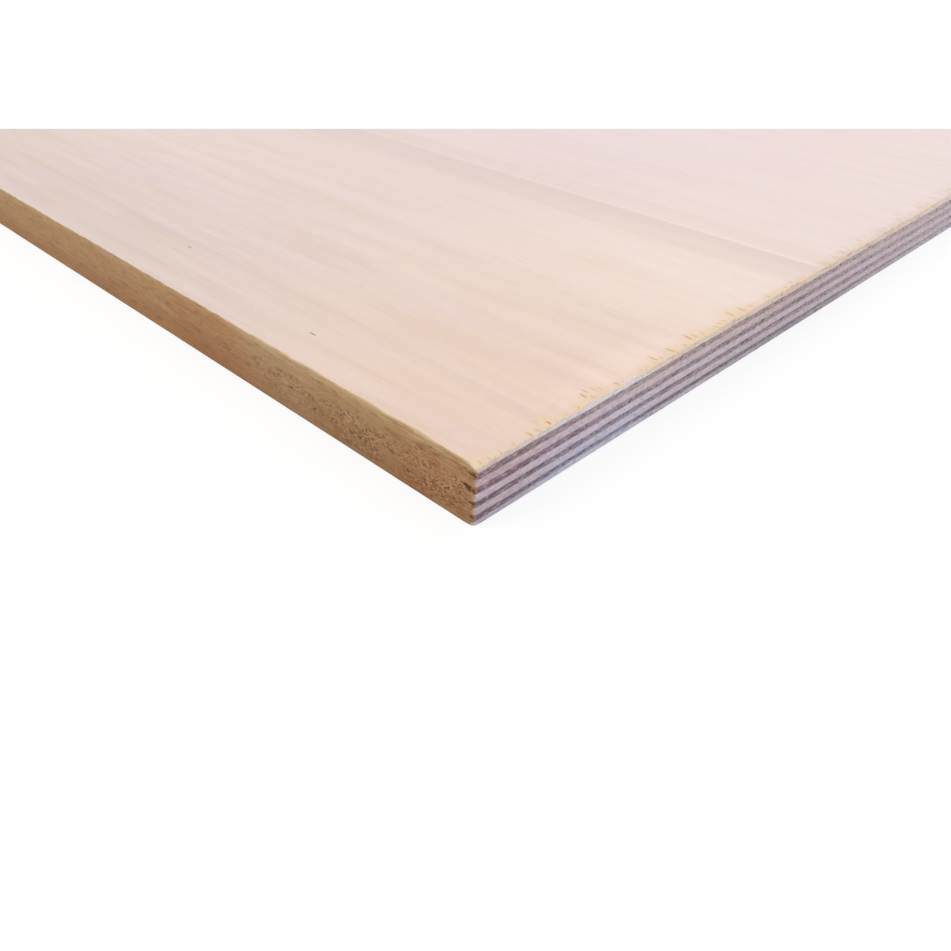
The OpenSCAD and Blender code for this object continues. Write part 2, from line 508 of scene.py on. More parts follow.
def times(*values):
    """Product of any number of sockets and numbers."""
    product = values[0]
    for value in values[1:]:
        product = calc("MULTIPLY", product, value)
    return product


def apart(value, spot):
    """How far a value lies from a place, either way."""
    return calc("ABSOLUTE", less(value, spot))


def off_half(value, weight):
    """How far a value lies from a half, times weight."""
    return times(less(value, 0.5), weight)


def blend(share, a, b):
    """Colour a, turned into colour b by `share`."""
    return add(tree_of(share, a, b), "Mix", {0: share, 6: a, 7: b}, data_type="RGBA").outputs[2]


def stain(share, a, tint):
    """Colour a, multiplied by a tint by `share`."""
    made = add(tree_of(share, a), "Mix", {0: share, 6: a, 7: tint}, data_type="RGBA", blend_type="MULTIPLY")
    return made.outputs[2]


def ease(value, low, high, first=0.0, last=1.0):
    """`first` at low, `last` at high and an S-curve between."""
    made = add(value.id_data, "MapRange", {"Value": value, "From Min": low, "From Max": high, "To Min": first,
                                           "To Max": last}, interpolation_type="SMOOTHSTEP")
    return made.outputs["Result"]


def new_group(name, inputs, outputs):
    """Empty shader group with the named sockets, which hold plain values unless SOCKET_KINDS says otherwise.
    Returns it with its inputs and its output node."""
    tree = bpy.data.node_groups.new(name, "ShaderNodeTree")
    for way, labels in (("INPUT", inputs), ("OUTPUT", outputs)):
        for label in labels:
            kind = "NodeSocket" + SOCKET_KINDS.get(label, "Float")
            tree.interface.new_socket(label, in_out=way, socket_type=kind)
    return tree, tree.nodes.new("NodeGroupInput").outputs, tree.nodes.new("NodeGroupOutput")


def place(group, inputs):
    """Instance of a shader group; returns its outputs."""
    made = tree_of(*inputs.values()).nodes.new("ShaderNodeGroup")
    made.node_tree = group
    feed(made, inputs)
    return made.outputs


def grain_group():
    """Noise drawn out along the grain: the place divided by Size, then moved by Seed, and bent by Curl."""
    tree, given, out = new_group("Drawn Grain", ("Vector", "Size", "Seed", "Detail", "Curl"), ("Value",))
    scaled = add(tree, "VectorMath", {0: given["Vector"], 1: given["Size"]}, operation="DIVIDE").outputs[0]
    moved = add(tree, "VectorMath", {0: scaled, 1: given["Seed"]}, operation="ADD").outputs[0]
    noise = add(tree, "TexNoise", {"Vector": moved, "Scale": 1.0, "Detail": given["Detail"],
                                   "Roughness": GRAIN_ROUGHNESS, "Distortion": given["Curl"]})
    feed(out, {"Value": noise.outputs[0]})
    return tree


def place_group():
    """Distances on the sheet: in from the nearer end, the right end, the nearer long edge and the front long edge,
    and below the face."""
    tree, given, out = new_group(
        "Sheet Place", ("Vector",), ("From End", "From Right End", "From Side", "Across", "Below Face"))
    x, y, z = add(tree, "SeparateXYZ", {0: given["Vector"]}).outputs
    feed(out, {"From End": less(HALF_L, calc("ABSOLUTE", x)), "From Right End": less(HALF_L, x),
               "From Side": less(HALF_W, calc("ABSOLUTE", y)), "Across": plus(y, HALF_W),
               "Below Face": less(SHEET_T, z)})
    return tree


def band_group():
    """A growth band: a bright line at At and a shade beside it, deepest at the line and ending with a step at Width.
    Both fade along the grain from the right end over Reach, the line sooner."""
    tree, given, out = new_group(
        "Growth Band", ("Across", "From Right End", "At", "Line", "Width", "Reach"), ("Line", "Shade"))
    off = less(given["Across"], given["At"])
    fade = less(1.0, calc("DIVIDE", given["From Right End"], given["Reach"]), clamp=True)
    line = less(1.0, calc("DIVIDE", calc("ABSOLUTE", off), given["Line"]), clamp=True)
    inside = calc("DIVIDE", times(off, -1.0), given["Width"])
    rise = ease(inside, 0.0, 0.12)
    step, slope = ease(inside, 1.2, 0.88), ease(inside, 0.7, 0.2)
    fall = plus(times(step, 0.7), times(slope, 0.3))
    feed(out, {"Line": times(line, calc("POWER", fade, 3.0)), "Shade": times(rise, fall, fade)})
    return tree


def patch_group():
    """A patch of a surface: 1 inside an ellipse about its place, fading to 0 past its outline. Along runs with the
    sheet, and Aside is the other way on that surface."""
    tree, given, out = new_group(
        "Patch", ("Along", "Aside", "At Along", "At Aside", "Half Length", "Half Width"), ("Mask",))
    along = calc("DIVIDE", less(given["Along"], given["At Along"]), given["Half Length"])
    aside = calc("DIVIDE", less(given["Aside"], given["At Aside"]), given["Half Width"])
    feed(out, {"Mask": ease(plus(times(along, along), times(aside, aside)), 1.3, 0.2)})
    return tree


GRAIN, PLACE, BAND, PATCH = grain_group(), place_group(), band_group(), patch_group()


def grain(vector, size_mm, seed, detail=2.0, curl=0.0):
    """Drawn grain with its size in mm along X, Y and Z."""
    size = [s * MM for s in size_mm]
    return place(GRAIN, {"Vector": vector, "Size": size, "Seed": seed, "Detail": detail, "Curl": curl})["Value"]


def patches(along, aside, places):
    """Mask of patches, each given in mm: its place along and aside, half length and half width."""
    mask = 0.0
    for at_along, at_aside, half_length, half_width in places:
        patch = place(PATCH, {"Along": along, "Aside": aside, "At Along": at_along * MM, "At Aside": at_aside * MM,
                              "Half Length": half_length * MM, "Half Width": half_width * MM})
        mask = calc("MAXIMUM", mask, patch["Mask"])
    return mask


# Colours of the sawn long edges, as they show under plain light; the pale tan is a painted highlight, and the pit
# brown painted shade
BROWN_LIGHT, BROWN_DEEP = palette((169, 132, 91), (151, 111, 73))
TAN, TAN_PAINTED_HIGHLIGHT = palette((175, 141, 99), (188, 157, 118))
CRUMB_DARK, CRUMB_LIGHT = palette((95, 52, 31), (200, 161, 122))
# The dark brown of the pits is painted shade.
PIT_SHADE_BROWN, GLUE_BROWN = palette((80, 48, 28), (104, 68, 42))
# Tints of the long edges: two hues, redder stretches, lines, curls and the painted shade at the foot
HUE_PINK, HUE_GREEN, STRETCH_RED = palette((255, 244, 237), (254, 258, 256), (252, 237, 231))
LINE_TINT, CURL_DARK, CURL_LIGHT = palette((240, 235, 230), (234, 228, 222), (263, 263, 262))
FOOT_SHADE = tone(226, 228, 232)
# Colours and tints of the cut ends
# The dark mauve of the pits and gaps in the ends is painted shade.
PIT_SHADE_MAUVE, PLY_SEAM = palette((84, 68, 76), (172, 154, 162))
END_BRIGHT, END_DULL, END_BLUSH = palette((264, 268, 268), (249, 245, 247), (258, 234, 244))
# How far in from the front long edge the brighter and the cool stretch of the ends lie, and how far below the face
# the dashes of glue on the long edges.
BRIGHT_AT, COOL_AT, DASHES_AT = 60 * MM, 44 * MM, 2.7 * MM
# Redder stretches of the long edges, and stretches with a tint of their own: mm in from the right end, half length in
# mm, how many mm below the face they start, tint.
RED_STRETCHES = ((12, 22, 1), (118, 28, -2))
TINTED_STRETCHES = (
    (78, 22, -4, (256, 261, 273)), (45, 24, 2, (248, 248, 248)), (6, 11, 14.5, (262, 288, 302)),
    (150, 25, 7, (261, 258, 255)), (265, 60, 7, (261, 260, 256)),
)
# Tinted stretches of the ends: mm in from the front long edge, mm below the face from and to, tint.
# The first two rows, darker in the lower veneers towards the foot, are painted shade.
END_STRETCHES = (
    (92, 14.6, 16.3, (235, 236, 236)), (155, 16.4, 20, (232, 232, 234)), (15, 6.4, 8.3, (251, 241, 250)),
    (108, 6.4, 8.4, (263, 264, 260)), (72, 2.2, 4.1, (262, 262, 255)), (205, 2.4, 4.7, (264, 264, 259)),
    (125, 2.2, 4.5, (257, 256, 245)), (146, 6.4, 8.9, (250, 249, 246)), (150, 14.9, 16.8, (247, 252, 251)),
    (28, 10.6, 12.2, (244, 246, 248)), (28, 12.8, 14.4, (252, 249, 247)), (265, 15.2, 20, (260, 264, 266)),
)


def long_edge_group():
    """Sawn long edge: brown wood, redder in stretches and lower down, tan beside the face, with a painted highlight
    along its top beside the right end and painted shade at its foot, with tinted stretches, faint lines along the
    sheet, short curls, and dashes of glue below the face veneer beside the right end. Where it is crumbly it has dark
    and light crumbs."""
    tree, given, out = new_group(
        "Sawn Long Edge", ("Vector", "From Right End", "Below Face", "Crumbly"), ("Color", "Height"))
    v, from_right, below, torn = given[:4]
    broad = grain(v, (60, EVEN, 14), 3.1)
    cloud = grain(v, (11, EVEN, 2.6), 2.4, 3.0, 0.6)
    lines = grain(v, (24, EVEN, 0.7), 5.7, 3.0)
    low = ease(below, 0.001, 0.019)
    share = plus(times(low, 0.6), plus(times(broad, 0.45), times(cloud, 0.5)))
    wood = blend(ease(share, 0.4, 1.15), BROWN_LIGHT, BROWN_DEEP)
    ragged = plus(below, off_half(grain(v, (6, EVEN, 1.8), 4.8, 3.0), 6 * MM))
    wood = blend(times(ease(ragged, 0.003, 0.001), 0.85), wood, TAN)
    # Painted highlight: the top of the edge is paler beside the right end.
    top_highlight = times(ease(ragged, 0.0026, 0.0008), ease(from_right, 0.12, 0.08))
    wood = blend(times(top_highlight, 0.45), wood, TAN_PAINTED_HIGHLIGHT)
    hue = grain(v, (8, EVEN, 2.2), 7.1, 2.0, 0.8)
    wood = stain(ease(hue, 0.5, 0.7), wood, HUE_PINK)
    wood = stain(ease(hue, 0.48, 0.32), wood, HUE_GREEN)
    red = times(ease(grain(v, (90, EVEN, 40), 9.3, 1.0), 0.56, 0.7), ease(below, 0.0, 0.004))
    for at, half, top in RED_STRETCHES:
        off = apart(from_right, at * MM)
        stretch = times(ease(off, half * MM, 0.4 * half * MM), ease(below, top * MM, (top + 4) * MM))
        red = calc("MAXIMUM", red, stretch)
    wood = stain(times(red, 0.8), wood, STRETCH_RED)
    for at, half, top, tint in TINTED_STRETCHES:
        off = apart(from_right, at * MM)
        stretch = times(ease(off, half * MM, 0.6 * half * MM), ease(below, top * MM, (top + 3) * MM))
        wood = stain(stretch, wood, tone(*tint))
    wood = stain(ease(lines, 0.48, 0.72), wood, LINE_TINT)
    curls = grain(v, (5, EVEN, 1.6), 13.7, 3.0, 1.0)
    wood = stain(ease(curls, 0.52, 0.7), wood, CURL_DARK)
    wood = stain(ease(curls, 0.48, 0.3), wood, CURL_LIGHT)
    dashed = times(ease(grain(v, (3, EVEN, 0.7), 15.1, 3.0), 0.42, 0.6),
                   ease(apart(below, DASHES_AT), 0.0011, 0.0004), ease(from_right, 0.03, 0.014))
    wood = blend(times(dashed, 0.6), wood, GLUE_BROWN)
    # Painted shade along the foot of the edge.
    wood = stain(ease(below, 0.0172, 0.0178), wood, FOOT_SHADE)
    dark, light = (times(ease(grain(v, (1.8, EVEN, 1.1), seed, 3.0, 1.5), 0.53, 0.62), torn)
                   for seed in (1.9, 11.3))
    wood = blend(times(light, 0.5), wood, CRUMB_LIGHT)
    wood = blend(times(dark, 0.86), wood, CRUMB_DARK)
    height = less(times(lines, 0.3), times(dark, 0.4))
    feed(out, {"Color": wood, "Height": height})
    return tree


def end_cut_group():
    """Cut end of a veneer: Near beside the front corner turns into Far, tinted by Middle from the fourth veneer down
    and by Lower further down, brighter in a stretch beside the corner, with a slow drift along the edge, dark and
    light specks, a few reddish ones, tinted stretches, two of them painted shade towards the foot, and a ragged
    seam towards each glue line."""
    tree, given, out = new_group(
        "Cut End", ("Vector", "Across", "Below Face", "Ply", *TONE_NAMES, "Speck", "Amount", "Seam"),
        ("Color", "Height"))
    v, across, down = given[:3]
    drift = off_half(grain(v, (EVEN, 60, 14), 2.2), 0.45)
    ramp = add(tree, "MapRange", {"Value": across, "From Min": 0.0, "From Max": 0.27}).outputs["Result"]
    wood = blend(plus(ramp, drift, clamp=True), given["Near"], given["Far"])
    tinted = less(1.0, times(ramp, 0.6))
    wood = stain(times(ease(down, 0.005, 0.009), tinted), wood, given["Middle"])
    wood = stain(times(ease(down, 0.009, 0.0155), tinted), wood, given["Lower"])
    wood = stain(ease(apart(across, BRIGHT_AT), 0.08, 0.02), wood, END_BRIGHT)
    deeper = ease(down, 0.009, 0.015, 0.35, 1.0)
    wood = stain(times(ease(apart(across, COOL_AT), 0.03, 0.01), deeper), wood, given["Cool"])
    wood = stain(ease(across, 0.024, 0.004), wood, END_DULL)
    blush = ease(grain(v, (EVEN, 2.6, 1.0), 5.2, 3.0, 0.6), 0.6, 0.72)
    wood = stain(times(blush, ease(across, 0.13, 0.05)), wood, END_BLUSH)
    # Tinted stretches; the two darker ones towards the foot are painted shade.
    for at, top, foot, tint in END_STRETCHES:
        off = apart(across, at * MM)
        stretch = times(ease(off, 0.045, 0.015), ease(down, top * MM - 0.0005, top * MM),
                        ease(down, foot * MM + 0.0003, foot * MM))
        wood = stain(stretch, wood, tone(*tint))
    speck = place(GRAIN, {"Vector": v, "Size": given["Speck"], "Seed": 4.4, "Detail": 4.0, "Curl": 0.6})["Value"]
    wood = blend(times(ease(speck, 0.5, 0.68), given["Amount"]), wood, given["Dark"])
    wood = blend(times(ease(speck, 0.48, 0.3), given["Amount"]), wood, given["Light"])
    fuzz = off_half(grain(v, (EVEN, 1.6, 0.9), 7.7, 4.0), 0.8)
    seam = ease(plus(apart(times(given["Ply"], 2.0), 1.0), fuzz), 0.65, 1.15)
    wood = blend(times(seam, given["Seam"]), wood, PLY_SEAM)
    feed(out, {"Color": wood, "Height": speck})
    return tree


LONG_EDGE, END_CUT = long_edge_group(), end_cut_group()


# Finishes

WOOD_SPECULAR = 0.3


def mark(tree, name):
    """A mark that the veneer's mesh carries at each point."""
    return add(tree, "Attribute", attribute_name=name).outputs["Fac"]


def empty_tree(owner):
    """Empty node tree of a material or of the world."""
    owner.use_nodes = True
    owner.node_tree.nodes.clear()
    return owner.node_tree


def wood_material(name):
    """Material with its wood shader; returns it with its tree, shader, place on the sheet and object coordinates."""
    material = bpy.data.materials.new(name)
    tree = empty_tree(material)
    shader = add(tree, "BsdfPrincipled", {"Specular IOR Level": WOOD_SPECULAR})
    add(tree, "OutputMaterial", {"Surface": shader.outputs[0]})
    vector = add(tree, "TexCoord").outputs["Object"]
    return material, tree, shader, place(PLACE, {"Vector": vector}), vector


def edge_colour(tree, vector, at, tones, speck_mm, amount, seam, overlap):
    """Colour and height of a veneer's edges. The sawn long edge turns into the cut end at the corner, on a ragged
    line that lies `overlap` mm round onto the long edge. Glue shows as broken dark lines beside the corners, and
    pits have painted shade."""
    from_end, from_right, _, across, below = at
    sawn = place(LONG_EDGE, {"Vector": vector, "From Right End": from_right, "Below Face": below,
                             "Crumbly": mark(tree, "crumbly")})
    cut = place(END_CUT, {"Vector": vector, "Across": across, "Below Face": below,
                          "Ply": mark(tree, "ply"), "Speck": [s * MM for s in speck_mm], "Amount": amount,
                          "Seam": seam, **dict(zip(TONE_NAMES, tones))})
    wobble = off_half(grain(vector, (1.3, 1.3, 0.8), 3.6, 3.0), 2.6)
    turned = plus(plus(mark(tree, "past_corner"), wobble), overlap)
    end = ease(turned, -0.8, 0.6)
    colour = blend(end, sawn["Color"], cut["Color"])

    from_middle = apart(times(mark(tree, "ply"), 2.0), 1.0)
    broken = ease(grain(vector, (2.6, 2.6, 40), 6.2, 3.0), 0.44, 0.58)
    beside = calc("MAXIMUM", ease(from_end, 0.045, 0.01), 0.2)
    from_middle = plus(from_middle, off_half(grain(vector, (1.6, 1.6, 1.0), 8.8, 3.0), 0.9))
    glue = times(ease(from_middle, 0.72, 1.0), broken, beside, less(0.7, times(end, 0.6)))
    colour = blend(glue, colour, GLUE_BROWN)
    # Pits take painted shade: dark brown on the long edges, dark mauve on the ends.
    pit_shade = blend(end, PIT_SHADE_BROWN, PIT_SHADE_MAUVE)
    colour = blend(times(mark(tree, "pit"), 0.9), colour, pit_shade)
    height = add(tree, "Mix", {0: end, 2: sawn["Height"], 3: cut["Height"]}).outputs[0]
    return colour, height


def finish_surface(shader, colour, height, depth, smooth, rough):
    """Feeds a wood shader: its colour, a bump of the given depth, and a roughness that follows the bump."""
    tree = shader.id_data
    bump = add(tree, "Bump", {"Height": height, "Distance": depth, "Strength": 1.0})
    sheen = add(tree, "MapRange", {"Value": height, "From Min": 0.3, "From Max": 0.7,
                                   "To Min": smooth, "To Max": rough})
    feed(shader, {"Base Color": colour, "Normal": bump.outputs[0], "Roughness": sheen.outputs["Result"]})


def inner_finish(name, tones, speck_mm, amount, seam, overlap, depth):
    """An inner veneer, of which only the edges show. The ends are cut along the fibres of a cross veneer, which is
    dark mauve there, and across those of a long one, which is a pale greyish pink. Both are brown on the long
    edges."""
    material, tree, shader, at, vector = wood_material(name)
    colour, height = edge_colour(tree, vector, at, tones, speck_mm, amount, seam, overlap)
    finish_surface(shader, colour, height, depth, 0.7, 0.85)
    return material


# Growth bands of the face: place in from the front long edge, half width of the bright line, width of the shade,
# reach along the grain (all in mm), strength of the line and of the shade.
BANDS = (
    (159.1, 1.7, 18, 500, 1.6, 1.45), (172, 1.0, 14, 900, 0, 0.45), (27, 0.9, 5, 420, 0.1, 0.5),
    (86, 0.8, 5, 300, 0.1, 0.4), (424, 1.4, 22, 2600, 0.7, 0.7), (590, 1.6, 26, 3100, 0.7, 0.7),
    (804, 1.5, 20, 2700, 0.8, 0.8), (1080, 1.4, 24, 3000, 0.7, 0.7),
)
# Flecks of the face: mm in from the right end and from the front long edge, half length and half width in mm.
FLECKS = (
    (79, 13, 1.7, 0.42), (162, 22, 1.5, 0.34), (412, 668, 2.4, 0.7), (905, 655, 2.0, 0.6), (1340, 214, 2.8, 0.7),
    (1690, 990, 2.2, 0.6), (2210, 480, 2.0, 0.6),
)
FACE_DEEP, FACE_PALE, FACE_BRIGHT = palette((228, 208, 201), (241, 223, 216), (243, 225, 217))
FACE_LILAC, FACE_WARM = palette((241, 223, 225), (239, 211, 192))
FACE_RIM, ARRIS_TAN = palette((231, 205, 172), (203, 172, 140))
# The orange-brown of the splits is partly the wood's own colour and partly painted shade.
TORN_YELLOW, SPLIT_SHADE_BROWN = palette((239, 211, 171), (164, 118, 76))
FRINGE_CREAM, TUFT_BROWN = palette((233, 211, 196), (208, 188, 176))
BAND_BRIGHT, PORE_BROWN, FLECK_GREY = palette((250, 237, 231), (200, 164, 144), (142, 132, 138))
# Tints of the face: contour figure, sides, pale zone, shade of the bands, bright strip; deep and pale mottle and hue
RING_TINT, SIDE_TINT, PALE_TINT = palette((242, 236, 231), (243, 242, 240), (260, 260, 258))
SHADE_TINT, STRIP_TINT = palette((240, 236, 236), (261, 261, 262))
MOTTLE_DEEP, MOTTLE_PALE = palette((250, 248, 246), (258, 259, 260))
HUE_DEEP, HUE_PALE = palette((255, 253, 248), (254, 254, 259))
# Tints of the edge of a skin on the ends: strands and rough patches
STRAND_TINT, ROUGH_TINT = palette((241, 238, 237), (226, 217, 208))
# How far in from the front long edge the pale zone, the cast of the tears and the bright strip lie
PALE_AT, CAST_AT, STRIP_AT = 128 * MM, 105 * MM, 60 * MM


def face_figure(vector, at, seed):
    """Colour and height of a sanded face: soft bands, streaks, fine lines and short pores along the grain, quiet at
    the photographed corner, contour figure further off, growth bands and flecks at their places, deeper beside the
    long edges, lilac further in, bright beside the ends, and warm with a pale zone beside the photographed one."""
    from_end, from_right, from_side, across, _ = at
    broad = grain(vector, (900, 42, EVEN), seed, 1.0)
    streak = grain(vector, (260, 7, EVEN), seed + 1.3)
    fine = grain(vector, (34, 1.5, EVEN), seed + 2.6, 3.0)
    mottle = grain(vector, (70, 6, EVEN), seed + 6.1, 3.0, 0.2)
    hue = grain(vector, (90, 7, EVEN), seed + 14, 4.0, 0.2)
    pores = ease(grain(vector, (6, 0.45, EVEN), seed + 3.9, 1.0), 0.64, 0.78)
    from_corner = calc("MAXIMUM", from_right, across)
    lively = ease(from_corner, 0.25, 0.8, 0.5, 1.5)
    dashed = ease(grain(vector, (110, 14, EVEN), seed + 13, 1.0), 0.42, 0.66)
    beside = times(ease(from_side, 0.085, 0.02, 0.45, 1.35), dashed)
    value = plus(times(off_half(broad, 1.3), lively), 0.5)
    value = plus(value, times(off_half(streak, 0.9), lively))
    value = plus(value, times(off_half(fine, 1.2), beside), clamp=True)
    colour = blend(value, FACE_DEEP, FACE_PALE)

    contour = calc("FRACT", times(grain(vector, (1300, 170, EVEN), seed + 11, 1.6), 15.0))
    rings = times(ease(contour, 0.35, 0.95), ease(contour, 1.0, 0.95), ease(from_corner, 0.32, 0.6))
    colour = stain(times(rings, 0.75), colour, RING_TINT)

    side = times(ease(from_side, 0.08, 0.0), ease(from_end, -0.12, 0.24))
    colour = stain(side, colour, SIDE_TINT)
    cloudy = times(ease(grain(vector, (1500, 180, EVEN), seed + 7, 1.0), 0.4, 0.64), 0.6)
    lilac = calc("MAXIMUM", cloudy, ease(from_corner, 1.3, 0.35))
    inner = times(ease(from_side, 0.12, 0.27), lilac)
    colour = blend(times(inner, 0.8), colour, FACE_LILAC)
    bright = times(ease(from_end, 0.16, 0.0), ease(from_side, 0.0, 0.08))
    colour = blend(times(bright, 0.7), colour, FACE_BRIGHT)
    warm = times(ease(from_right, 0.19, 0.0), ease(across, 0.15, 0.03))
    colour = blend(times(warm, 0.75), colour, FACE_WARM)
    pale_zone = times(ease(apart(across, PALE_AT), 0.055, 0.02), ease(from_right, 0.22, 0.03))
    colour = stain(pale_zone, colour, PALE_TINT)
    streaked = ease(from_side, 0.13, 0.05, 0.4, 0.85)
    for noise, deep, pale in ((mottle, MOTTLE_DEEP, MOTTLE_PALE), (hue, HUE_DEEP, HUE_PALE)):
        colour = stain(times(ease(noise, 0.48, 0.72), streaked), colour, deep)
        colour = stain(times(ease(noise, 0.52, 0.28), streaked), colour, pale)

    wander = off_half(grain(vector, (500, 300, EVEN), seed + 5, 1.0), 6 * MM)
    wavy = plus(across, wander)
    line, shade = 0.0, 0.0
    for band_at, half, width, reach, bright_line, deep_shade in BANDS:
        band = place(BAND, {"Across": wavy, "From Right End": from_right, "At": band_at * MM,
                            "Line": half * MM, "Width": width * MM, "Reach": reach * MM})
        line = plus(line, times(band["Line"], bright_line))
        shade = plus(shade, times(band["Shade"], deep_shade))
    fleck = patches(from_right, across, FLECKS)
    colour = stain(times(shade, 0.5), colour, SHADE_TINT)
    colour = blend(times(line, 0.26), colour, BAND_BRIGHT)
    colour = blend(times(pores, 0.2), colour, PORE_BROWN)
    colour = blend(times(fleck, 0.7), colour, FLECK_GREY)
    height = less(times(fine, 0.6), times(pores, 0.5))
    return colour, height


def skin_finish(name, tones, seed, skin_from):
    """An outer veneer: the sanded figure on its skin, yellower at the long arrises, its edges turned to sawn wood on
    a ragged line. Beside the ends the skin is frayed and cream, with a bright strip, brown tufts further across, and
    yellow tears with orange-brown splits along the grain, their colour partly the wood's own and partly painted
    shade. Cream strands hang over the edge there, which is rough in patches.
    On the long arrises the skin starts where its mark is `skin_from`."""
    material, tree, shader, at, vector = wood_material(name)
    figure, relief = face_figure(vector, at, seed)
    from_end, from_right, from_side, across, below = at
    rim_place = plus(from_side, off_half(grain(vector, (14, EVEN, EVEN), seed + 4, 3.0), 2 * MM))
    near_end = ease(from_end, 0.14, 0.05, 0.25, 1.0)
    faded = ease(from_end, 0.17, 0.24, 1.0, 0.4)
    figure = blend(times(ease(rim_place, 0.0026, 0.0), near_end, 0.6), figure, FACE_RIM)
    figure = blend(times(ease(rim_place, 0.0009, 0.0002), near_end, faded), figure, ARRIS_TAN)
    patchy = grain(vector, (4, 1.3, EVEN), seed + 9, 3.0)
    frayed = plus(from_end, off_half(patchy, 5 * MM))
    cast = times(ease(from_end, 0.009, 0.001), ease(patchy, 0.3, 0.6), ease(apart(across, CAST_AT), 0.05, 0.025))
    figure = blend(times(cast, 0.15), figure, TORN_YELLOW)
    strip = times(ease(from_right, 0.016, 0.007), ease(apart(across, STRIP_AT), 0.035, 0.018))
    figure = stain(strip, figure, STRIP_TINT)
    figure = blend(times(ease(frayed, 0.0034, 0.0004), 0.75), figure, FRINGE_CREAM)
    blotch = grain(vector, (4, 4, 1.2), seed + 15, 3.0, 0.8)
    tufts = times(ease(from_end, 0.008, 0.001), ease(blotch, 0.45, 0.65), ease(across, 0.15, 0.17))
    figure = blend(times(tufts, 0.45), figure, TUFT_BROWN)
    torn = mark(tree, "torn")
    paler = ease(across, 0.13, 0.17, 1.0, 0.55)
    figure = blend(times(torn, ease(patchy, 0.28, 0.58), paler), figure, TORN_YELLOW)
    # Splits and dashes in the tears: orange-brown, partly the wood's own colour and partly painted shade.
    dashes = ease(grain(vector, (2.6, 0.6, EVEN), seed + 10, 1.0), 0.64, 0.74)
    split = calc("MAXIMUM", mark(tree, "split"), times(dashes, torn, 0.5))
    figure = blend(times(split, 0.9), figure, SPLIT_SHADE_BROWN)
    edge, edge_height = edge_colour(tree, vector, at, tones, (EVEN, 2.4, 0.6), 0.6, 0.4, 0.2)
    strands = grain(vector, (EVEN, 0.8, 4), seed + 12, 3.0)
    hung = less(plus(below, off_half(strands, 4 * MM)), off_half(ease(across, 0.055, 0.075), 1.8 * MM))
    on_end = ease(from_end, 0.002, 0.001)
    cream = ease(across, 0.16, 0.26, 0.85, 0.45)
    edge = blend(times(ease(hung, 0.0012, 0.0), on_end, cream), edge, FRINGE_CREAM)
    edge = stain(times(ease(strands, 0.5, 0.7), on_end), edge, STRAND_TINT)
    rough = times(ease(blotch, 0.5, 0.68), on_end, ease(across, 0.06, 0.08))
    edge = stain(rough, edge, ROUGH_TINT)
    skin = mark(tree, "skin")
    on_arris = times(skin, less(1.0, skin), 4.0)
    ragged = plus(1.3, times(on_end, 0.7))
    uneven = off_half(grain(vector, (4, 1.6, EVEN), seed + 8, 3.0), ragged)
    uneven = times(plus(uneven, times(torn, 0.4)), on_arris)
    skin = ease(plus(skin, uneven), less(skin_from, times(on_end, 0.22)), plus(0.94, times(on_end, 0.04)))
    height = add(tree, "Mix", {0: skin, 2: edge_height, 3: relief}).outputs[0]
    finish_surface(shader, blend(skin, edge, figure), height, 0.06 * MM, 0.62, 0.8)
    return material


PLAIN = (255, 255, 255)
FACE_TONES = palette((224, 204, 202), (242, 223, 217), (196, 178, 172), (240, 228, 226),
                     PLAIN, PLAIN, (254, 282, 300))
CROSS_TONES = palette((152, 125, 131), (200, 184, 190), (104, 84, 92), (200, 180, 184),
                      (236, 240, 249), (248, 254, 262), (266, 295, 308))
LONG_TONES = palette((198, 175, 181), (210, 191, 194), (168, 150, 158), (228, 214, 220),
                     (259, 270, 275), (246, 249, 252), (256, 269, 280))
BACK_TONES = palette((189, 185, 197), (201, 195, 202), (140, 132, 142), (208, 204, 212),
                     PLAIN, PLAIN, (268, 270, 274))
FINISHES = {
    "face_veneer": skin_finish("face veneer", FACE_TONES, 0.7, 0.34),
    "cross_veneer": inner_finish("cross veneer", CROSS_TONES, (EVEN, 1.6, 0.6), 0.85, 0.4, -0.2, 0.15 * MM),
    "long_veneer": inner_finish("long veneer", LONG_TONES, (EVEN, 1.5, 0.6), 0.65, 0.3, 0.15, 0.1 * MM),
    "back_veneer": skin_finish("back veneer", BACK_TONES, 12.4, 0.7),
}


# The sheet

def put(name, data):
    """New object in the scene."""
    made = bpy.data.objects.new(name, data)
    bpy.context.scene.collection.objects.link(made)
    return made


def lay_up():
    """Makes the nine veneers, each in place of its solid."""
    for number, name in enumerate(VENEERS, 1):
        slot = name if name in FINISHES else name.rsplit("_", 1)[0]
        piece = put("sheet_" + name, veneer_mesh("sheet_" + name, number))
        piece.data.materials.append(FINISHES[slot])
        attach(piece, "root")
        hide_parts(name)


lay_up()


# Studio

WHITE = (1, 1, 1, 1)
# Floor: how far it lies under the sheet, half its side, its grey, and the strength and share of its white glow.
FLOOR_DROP, FLOOR_HALF = 0.2 * MM, 14.0
FLOOR_GREY, FLOOR_GLOW, GLOW_SHARE = 0.86, 1.08, 0.72
# Light: strength of the surroundings that light the sheet, width of the suns; for each sun its name, the way towards
# it and its power.
SKY = 0.62
SUN_WIDTH = math.radians(40)
SUNS = (("key", (0.5, -0.35, 0.8), 0.8), ("fill", (-0.3, -0.7, 0.65), 0.7))
# Camera of the photograph, fitted to the edges in it: turn and tilt, focal length and width of the photograph in
# pixels, width of the sensor in mm, how far it stands out from the corner along X, Y and Z, and the nearest and
# farthest depth that it shows. The photograph is cut straight across at the farthest.
CAMERA_TURN, CAMERA_TILT = math.radians(45.244), math.radians(35.992)
FOCAL_PIXELS, PHOTO_PIXELS, SENSOR_WIDTH = 873.0, 951, 36
STAND_X, STAND_Y, STAND_Z = 112.09 * MM, 111.59 * MM, 112.74 * MM
NEAR_DEPTH, CUT_DEPTH = 10 * MM, 423.2 * MM


def facing(right, back):
    """Matrix of a lamp or camera that looks away from `back`, with `right` on its right."""
    return Matrix(np.column_stack([right, np.cross(back, right), back]).tolist()).to_4x4()


